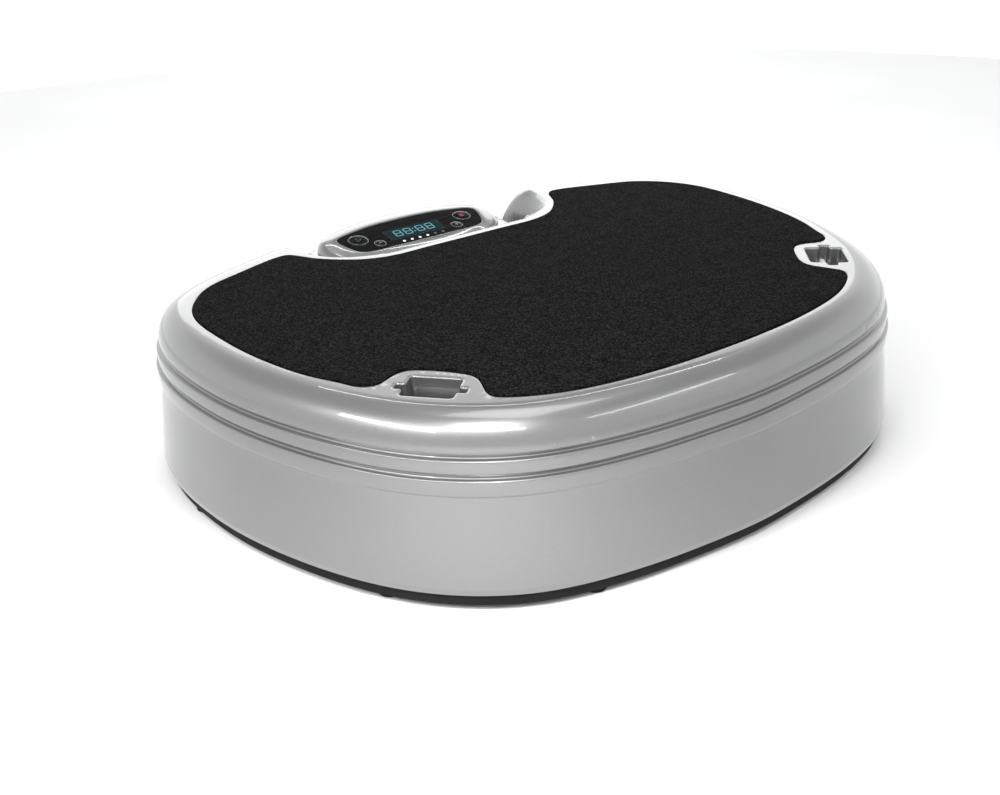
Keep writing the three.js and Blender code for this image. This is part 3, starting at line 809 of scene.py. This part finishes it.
def make_pod():
    """The silver console housing, curled over at its edge, with a seat for the black panel."""
    skin = Skin()
    floor = SEAT + 0.3
    curl = np.minimum(POD_ROUND, console_plane(POD[:, 1]) - floor + 1)
    crest = inset(POD, curl * (1 - math.cos(POD_TURN)))
    seat = to_frame(inset(PANEL, -1.3))
    match = np.roll(seat, -nearest(crest[0], seat), axis=0)
    drop = 0.17 * np.minimum(np.linalg.norm(match - crest, axis=1), 18)
    height = console_plane(crest[:, 1]) - drop - floor
    curve = np.minimum(POD_ROUND, height - 1)
    rings = [skin.ring(inset(POD, 3), floor), skin.ring(inset(POD, 0.5), floor), skin.ring(POD, floor + 0.5)]
    for turn in np.linspace(0, POD_TURN, 11):
        plan = inset(POD, curl * (1 - math.cos(turn)))
        rings.append(skin.ring(plan, floor + height - curve * (1 - math.sin(turn) / math.sin(POD_TURN))))
    for share in (0.2, 0.4, 0.6, 0.8, 0.95):
        plan = crest + (match - crest) * share
        rings.append(skin.ring(plan, console_plane(plan[:, 1]) - drop * (1 - share) ** 1.5))
    edge = [(1.2, 0.3), (0.75, 0.2), (0.5, 0.0), (0.35, -0.3), (0.3, -3.2), (-5, -3.3), (-5, -6)]
    panel = np.roll(PANEL, -nearest(crest[0], to_frame(PANEL)), axis=0)
    for grow, local in edge:
        rings.append(skin.add(tilted(inset(panel, -grow), local)))
    skin.loft(rings)
    skin.bridge(rings[-1], rings[0])
    piece("console_pod", skin, "platform", SILVER, ["console_housing"], sharp=50)


def to_frame(plan):
    """Plan points of the console's own face, as plan points of the frame."""
    return tilted(plan, 0.3)[:, :2]


def nearest(point, loop):
    """The number of the loop's point that is nearest to the given one."""
    return int(np.argmin(np.linalg.norm(loop - point, axis=1)))


make_pod()

BUTTONS = [
    ("start", -68, 2.5, 10), ("stop", 68, 2.5, 9.2), ("minus", -50, -14, 5.6), ("plus", 50, -14, 5.6),
]
LED_X = [1.5 + (i - 2.5) * 10.15 for i in range(6)]
LED_Y = -21
DISPLAY_Y, DISPLAY_WIDE, DISPLAY_TALL = -3, 70, 22


def bar(x0, x1, y0, y1, radius=0.0):
    corners = [(x0, y0), (x1, y0), (x1, y1), (x0, y1)]
    return rounded(corners, radius, 4) if radius else np.array(corners, float)


def make_panel():
    skin = Skin()
    half, tall = DISPLAY_WIDE / 2, DISPLAY_TALL / 2
    holes = [bar(-half, half, DISPLAY_Y - tall, DISPLAY_Y + tall, 1.5)]
    holes += [circle(x, y, radius + 0.35) for _, x, y, radius in BUTTONS]
    holes += [circle(x, LED_Y, 1.8, 24) for x in LED_X]
    slab(skin, PANEL, holes, -3, 0, 0.25)
    piece("console_face", skin, "platform", GLOSS, ["console_panel"],
          transform=ON_CONSOLE, sharp=10)


make_panel()


def make_button(name, x, y, radius):
    """A slightly crowned cap with a soft edge."""
    profile = [
        (radius - 0.4, -3.9), (radius, -3.5), (radius, -0.1), (radius - 0.08, 0.08), (radius - 0.35, 0.22),
    ]
    crown = [(radius * s, 0.22 + 0.26 * (1 - s**2)) for s in (0.9, 0.75, 0.55, 0.3, 0.02)]
    skin = turned(profile + crown)
    body = "button_" + name
    piece(body + "_cap", skin, body, GLOSS, [body],
          ON_CONSOLE @ Matrix.Translation((x * MM, y * MM, 0)))


def make_ring(name, x, y, radius):
    """The thin silver line that circles a button."""
    skin = Skin()
    slab(skin, circle(x, y, radius + 1.25, 64), [circle(x, y, radius + 0.75, 64)], -0.1, 0.06, 0.05, 1)
    piece("ring_" + name, skin, "platform", RING_SILVER, transform=ON_CONSOLE, sharp=10)


for name, x, y, radius in BUTTONS:
    make_button(name, x, y, radius)
    make_ring(name, x, y, radius)

ICON_GREEN = glow("icon_green", (0.01, 0.12, 0.04), 1.0, 0.2)
ICON_RED = glow("icon_red", (0.19, 0.008, 0.014), 1.0, 0.2)
ICON_WHITE = flat_ink("icon_white", (0.22, 0.225, 0.23))


def make_icon(name, outer, holes, material, x, y, level=0.5):
    skin = Skin()
    slab(skin, outer + (x, y), [h + (x, y) for h in holes], level - 0.12, level, 0.03, 1)
    body = "button_" + name
    piece("icon_" + name, skin, body, material, transform=ON_CONSOLE, sharp=10)


def triangle(reach):
    corners = [(reach * math.cos(a), reach * math.sin(a)) for a in (0, 2 * math.pi / 3, 4 * math.pi / 3)]
    return rounded(corners, 0.4, 3)


make_icon("start", triangle(4.6), [triangle(3.4)], ICON_GREEN, -68, 2.5)
make_icon("stop", bar(-2.9, 2.9, -2.9, 2.9, 0.4), [], ICON_RED, 68, 2.5)
make_icon("minus", bar(-2.2, 2.2, -0.4, 0.4), [], ICON_WHITE, -50, -14)
PLUS = np.array([
    (-0.4, -2.2), (0.4, -2.2), (0.4, -0.4), (2.2, -0.4), (2.2, 0.4), (0.4, 0.4),
    (0.4, 2.2), (-0.4, 2.2), (-0.4, 0.4), (-2.2, 0.4), (-2.2, -0.4), (-0.4, -0.4),
], float)
make_icon("plus", PLUS, [], ICON_WHITE, 50, -14)

LED_LIT = glow("led_lit", (0.62, 0.82, 1.0), 1.6, 0.3)
LED_DIM = glow("led_dim", (0.05, 0.07, 0.085), 0.4)


def make_led(i, x):
    skin = turned([(1.5, -3), (1.5, -0.15), (1.42, 0.02), (1.15, 0.12), (0.6, 0.15)], 24)
    name = f"led_{i + 1}"
    material = LED_LIT if i < 4 else LED_DIM
    piece(name + "_lens", skin, "platform", material, [name],
          ON_CONSOLE @ Matrix.Translation((x * MM, LED_Y * MM, 0)))


for i, x in enumerate(LED_X):
    make_led(i, x)


# ---- The display: a tinted window with lit digits ----
def window_glass():
    """Smoked blue-green glass with a dim glow behind it."""
    f = Finish("display_tint", Coat_Weight=0.3, Coat_Roughness=0.03, Specular_IOR_Level=0.1, Roughness=0.12)
    shade = f.ramp(f.noise(70, 1, 0.4), (0.3, (0.004, 0.010, 0.013)), (0.7, (0.006, 0.015, 0.018)))
    f.colour(shade)
    f.link(shade, f.shader.inputs["Emission Color"])
    f.shader.inputs["Emission Strength"].default_value = 0.8
    return f.material


DIGIT_GLOW = glow("digit_glow", (0.10, 0.31, 0.35), 1.0, 0.1)


def segment(x, y, long, wide, upright):
    """One bar of a digit, with pointed ends, centred on x, y."""
    a, b = long / 2, wide / 2
    corners = [(-a, 0), (-a + b, -b), (a - b, -b), (a, 0), (a - b, b), (-a + b, b)]
    if upright:
        corners = [(-v, u) for u, v in corners]
    return np.array([(x + u, y + v) for u, v in corners], float)


def digit(x, y, wide, tall, bar_wide):
    """The seven bars of an eight."""
    across, up = wide - bar_wide, (tall - bar_wide) / 2
    bars = [segment(x, y + k * up, across, bar_wide, False) for k in (-1, 0, 1)]
    ends = [(s * across / 2, k * up / 2) for s in (-1, 1) for k in (-1, 1)]
    return bars + [segment(x + u, y + v, up, bar_wide, True) for u, v in ends]


def make_display():
    skin = Skin()
    half, tall = DISPLAY_WIDE / 2 - 0.3, DISPLAY_TALL / 2 - 0.3
    slab(skin, bar(-half, half, DISPLAY_Y - tall, DISPLAY_Y + tall, 1.2), [], -1.4, -0.02, 0.15, 2)
    piece("display_glass", skin, "platform", window_glass(), ["display_window"],
          ON_CONSOLE, sharp=10)
    skin = Skin()
    wide, height, line = 9.6, 13.4, 1.5
    shapes = []
    for x in (-20.5, -7.9, 7.9, 20.5):
        shapes += digit(x, DISPLAY_Y, wide, height, line)
    shapes += [circle(0, DISPLAY_Y + s * 3, 1.1, 16) for s in (-1, 1)]
    for shape in shapes:
        slanted = shape + np.column_stack([(shape[:, 1] - DISPLAY_Y) * 0.08, np.zeros(len(shape))])
        bottom, top = skin.ring(slanted, -0.1), skin.ring(slanted, 0.02)
        skin.bridge(bottom, top)
        skin.cap(bottom, down=True)
        skin.cap(top)
    piece("display_digits", skin, "platform", DIGIT_GLOW, transform=ON_CONSOLE)


make_display()


# ---- The base pan, its feet and bolts ----
def block(plan, bottom, top):
    """A plain upright solid over a plan, to cut away."""
    skin = Skin()
    low, high = skin.ring(plan, bottom), skin.ring(plan, top)
    skin.bridge(low, high)
    skin.cap(low, down=True)
    skin.cap(high)
    return skin


def vents():
    """Cooling slots through the tray's floor, in two fields."""
    middles = [sign * x for _, sign in SIDES for x in range(82, 150, 11)]
    return [block(bar(x - 3, x + 3, -24, 24, 2.9), PAN_BOTTOM - 2, PAN_BOTTOM + 6) for x in middles]


def screw_wells():
    """Round recesses in the tray's floor, one for each screw."""
    places = [(sign * x, y) for _, sign in SIDES for x, y in SCREWS]
    return [block(circle(x, y, 6.5, 40), PAN_BOTTOM - 2, PAN_BOTTOM + 1.8) for x, y in places]


def power_gap():
    """The gap in the tray's wall for the power plate."""
    return block(bar(-POWER_HALF, POWER_HALF, 270, 300), 13.7, 50)


def cut_away(thing, tools):
    """The piece with the tools' solids taken out of it."""
    for number, skin in enumerate(tools):
        tool = bpy.data.objects.new(f"tool_{number}", place_mesh(f"tool_{number}", skin))
        bpy.context.scene.collection.objects.link(tool)
        change = thing.modifiers.new("cut", "BOOLEAN")
        change.operation, change.solver, change.object = "DIFFERENCE", "EXACT", tool
        apply_modifiers(thing)
        bpy.data.objects.remove(tool)
    thing.data.set_sharp_from_angle(angle=math.radians(30))


def make_pan():
    """The black tray under the shell."""
    skin = Skin()
    profile = rounded_path([
        (9.5, PAN_BOTTOM), (5, PAN_BOTTOM), (5, PAN_STEP), (6.5, PAN_STEP), (6.5, PAN_TOP), (9.5, PAN_TOP),
        (9.5, PAN_BOTTOM + 3), (13.5, PAN_BOTTOM + 3),
    ], 1.2, 4)
    base = resample(SHELL, 420)
    rings = [skin.ring(inset(base, depth), height) for depth, height in profile]
    skin.loft(rings)
    skin.cap(rings[-1])
    skin.cap(rings[0], down=True)
    tray = piece("base_tray", skin, "base", PLASTIC, ["base_pan"], sharp=30)
    cut_away(tray, [power_gap(), *vents(), *screw_wells()])


make_pan()


def make_screw(name, x, y):
    """A round screw head, seen from below."""
    profile = [(0.02, 0.2), (2.2, 0.3), (3.6, 0.9), (3.8, 1.7)]
    skin = turned([(radius, PAN_BOTTOM + height) for radius, height in profile], 24)
    piece(name, skin, "base", STEEL, transform=Matrix.Translation((x * MM, y * MM, 0)))


for side, sign in SIDES:
    for i, (x, y) in enumerate(SCREWS):
        make_screw(f"screw_{side}_{i + 1}", sign * x, y)


def make_foot(name, x, y):
    """A rubber pad with a grip groove round its face."""
    skin = turned([
        (5.2, 0.9), (5.4, 0.1), (8.2, 0), (9.2, 0.7), (9.5, 1.8), (9.3, 2.6), (8.9, 3.0), (9.3, 3.4),
        (9.5, 4.4), (9.5, 6.0), (9.2, 6.3),
    ])
    piece(name + "_pad", skin, "base", FOOT_RUBBER, [name],
          Matrix.Translation((x * MM, y * MM, 0)))


for side, sign in SIDES:
    for i, (x, y) in enumerate(FEET):
        make_foot(f"foot_{side}_{i + 1}", sign * x, y)


# ---- CAD pieces that keep their shape ----
def refinish(names, material, bevel=0.0, angle=30):
    for name in names:
        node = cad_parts[name]
        node.data.materials.clear()
        node.data.materials.append(material)
        if bevel:
            edge = node.modifiers.new("edge", "BEVEL")
            edge.width, edge.segments = bevel * MM, 2
            edge.limit_method, edge.angle_limit = "ANGLE", math.radians(angle)
            edge.harden_normals = False


def corner_names(prefix):
    return [f"{prefix}_{side}_{end}" for side, _ in SIDES for end in ("front", "rear")]


PAIRS = ("front", "rear")
refinish(["deck_plate"], DECK_METAL, 0.5)
refinish(["beam_left", "beam_right"], DARK_STEEL, 0.8)
refinish(corner_names("isolator"), FOOT_RUBBER, 0.8)
refinish(corner_names("isolator_bolt"), STEEL, 0.4)
refinish([f"motor_{end}" for end in PAIRS], IRON, 0.8)
refinish([f"motor_clamp_{end}" for end in PAIRS], DARK_STEEL, 0.8)
refinish([f"rotor_shaft_{end}" for end in PAIRS], STEEL, 0.4)
refinish([f"eccentric_{end}_{side}" for end in PAIRS for side, _ in SIDES], WEIGHT_IRON, 0.5)
refinish(["display_module"], PLASTIC, 0.3)
refinish(["console_board", "control_board"], BOARD, 0.2)
refinish(["motor_driver"], STEEL, 1.0)
refinish(["power_plate", "switch_housing", "mains_inlet"], PLASTIC, 0.5)
refinish(["power_rocker"], GLOSS, 0.5)


def make_surround():
    """A black flange behind the shell's opening, round the power plate."""
    skin = Skin()
    hole = bar(-POWER_HALF - 0.1, POWER_HALF + 0.1, WINDOW_BOTTOM - 1, WINDOW_TOP - 3.6, 0.5)
    slab(skin, bar(-51, 51, WINDOW_BOTTOM - 5, WINDOW_TOP + 4, 4), [hole], 0, 2.2, 0.4)
    upright = Matrix.Rotation(math.pi, 4, "Z") @ Matrix.Rotation(math.pi / 2, 4, "X")
    stand = Matrix.Translation((0, (POWER_FACE - 4) * MM, 0)) @ upright
    piece("power_surround", skin, "base", PLASTIC, transform=stand, sharp=10)


make_surround()


def make_rocker_mark(name, outer, holes, height):
    """A plain line or ring on one half of the rocker's face."""
    skin = Skin()
    slab(skin, outer, holes, -0.05, 0.1, 0.03, 1)
    lean = math.atan(1.3 / 9.3) * (1 if height > 0 else -1)
    axle = Vector((ROCKER_X, ROCKER_Y, ROCKER_Z)) * MM
    seat = Matrix.Translation(axle) @ Matrix.Rotation(ROCKER_REST, 4, "X")
    face = Matrix.Translation((0, (1.72 + 0.14 * abs(height)) * MM, height * MM))
    upright = Matrix.Rotation(math.pi / 2, 4, "X") @ Matrix.Rotation(math.pi, 4, "Y")
    turn = Matrix.Rotation(-lean, 4, "X") @ upright
    piece(name, skin, "rocker", ICON_WHITE, transform=seat @ face @ turn)


make_rocker_mark("rocker_line", bar(-0.35, 0.35, -1.8, 1.8), [], 5.2)
make_rocker_mark("rocker_ring", circle(0, 0, 1.9, 32), [circle(0, 0, 1.3, 32)], -5.2)


# ---- Camera, floor and light ----
CAMERA_SPOT, CAMERA_AIM = (-0.6574, -0.8337, 0.5403), (-0.1994, -0.2026, 0.165)
CAMERA_ROLL = math.radians(-1.86)
CAMERA_LENS = 41.95
FLOOR_RADIUS = 2250


def look_from(spot, aim, roll):
    """A camera matrix at spot that looks at aim, turned by roll about its own axis."""
    turn = (Vector(aim) - Vector(spot)).to_track_quat("-Z", "Y").to_matrix().to_4x4()
    return Matrix.Translation(spot) @ turn @ Matrix.Rotation(roll, 4, "Z")


def make_camera():
    """A camera in front, to the left and above."""
    data = bpy.data.cameras.new("camera")
    data.sensor_width, data.lens = 36, CAMERA_LENS
    data.shift_x, data.shift_y = 0.0001, -0.0035
    data.clip_end = 50
    camera = bpy.data.objects.new("camera", data)
    camera.matrix_world = look_from(CAMERA_SPOT, CAMERA_AIM, CAMERA_ROLL)
    bpy.context.scene.collection.objects.link(camera)
    bpy.context.scene.camera = camera


def hang_light(name, data, spot, aim):
    light = bpy.data.objects.new(name, data)
    light.matrix_world = look_from(spot, aim, 0)
    bpy.context.scene.collection.objects.link(light)


def softbox(name, spot, aim, wide, tall, power):
    data = bpy.data.lights.new(name, "AREA")
    data.shape, data.size, data.size_y = "RECTANGLE", wide, tall
    data.energy = power
    hang_light(name, data, spot, aim)


def make_pool(spot, aim, power):
    """A soft pool of light on the floor, for the front-left wall to mirror."""
    data = bpy.data.lights.new("pool", "SPOT")
    data.energy, data.spot_size, data.spot_blend = power, math.radians(28), 0.8
    data.shadow_soft_size = 0.2
    hang_light("pool", data, spot, aim)


def make_floor():
    """A round white floor just under the feet, with nothing beyond it but the sky."""
    skin = Skin()
    skin.cap(skin.ring(circle(0, 0, FLOOR_RADIUS, 96), -0.2))
    mesh = place_mesh("floor", skin)
    f = Finish("floor_white", Roughness=0.9)
    f.colour(f.ramp(f.noise(3, 2, 0.5), (0.3, 0.73), (0.7, 0.75)))
    mesh.materials.append(f.material)
    floor = bpy.data.objects.new("floor", mesh)
    bpy.context.scene.collection.objects.link(floor)


def make_world():
    """A bright horizon, a softer sky, and one dark patch behind the console for its panel to mirror."""
    world = bpy.data.worlds.new("studio")
    world.use_nodes = True
    nodes, links = world.node_tree.nodes, world.node_tree.links
    direction = nodes.new("ShaderNodeTexCoord").outputs["Generated"]
    split = nodes.new("ShaderNodeSeparateXYZ")
    links.new(direction, split.inputs["Vector"])
    sky = nodes.new("ShaderNodeValToRGB")
    horizon, zenith = sky.color_ramp.elements
    horizon.color, zenith.color = (1.35, 1.36, 1.37, 1), (0.75, 0.76, 0.77, 1)
    for height, level in ((0.42, 1.3), (0.6, 0.8)):
        sky.color_ramp.elements.new(height).color = (level, level, level * 1.01, 1)
    links.new(split.outputs["Z"], sky.inputs["Fac"])
    near = nodes.new("ShaderNodeVectorMath")
    near.operation = "DOT_PRODUCT"
    near.inputs[1].default_value = (0.47, 0.56, 0.68)
    links.new(direction, near.inputs[0])
    patch = nodes.new("ShaderNodeValToRGB")
    for element, at, level in zip(patch.color_ramp.elements, (0.955, 0.975), (1, 0.1)):
        element.position, element.color = at, (level, level, level, 1)
    links.new(near.outputs["Value"], patch.inputs["Fac"])
    both = nodes.new("ShaderNodeVectorMath")
    both.operation = "MULTIPLY"
    links.new(sky.outputs["Color"], both.inputs[0])
    links.new(patch.outputs["Color"], both.inputs[1])
    links.new(both.outputs["Vector"], nodes["Background"].inputs["Color"])
    bpy.context.scene.world = world
    bpy.context.scene.view_settings.view_transform = "Standard"


make_camera()
make_floor()
make_world()
softbox("back_panel", (1.33, 2.12, 0.95), (0, 0, 0.15), 2.6, 0.75, 8)
softbox("back_strip", (1.05, 1.35, 2.15), (0, 0, 0.1), 2.2, 0.1, 8)
softbox("strip_left", (-1.6, -0.3, 1.1), (-0.35, -0.15, 0.0), 1.1, 0.22, 14)
softbox("strip_front", (-1.1, -1.15, 1.3), (-0.35, -0.4, 0.0), 1.3, 0.25, 12)
softbox("strip_right", (0.7, -1.6, 1.3), (0.2, -0.3, 0.1), 1.1, 0.12, 3)
softbox("overhead", (0.1, -0.2, 2.3), (0, 0, 0), 1.2, 1.2, 14)
make_pool((-0.95, -1.1, 1.6), (-0.43, -0.46, 0.0), 230)
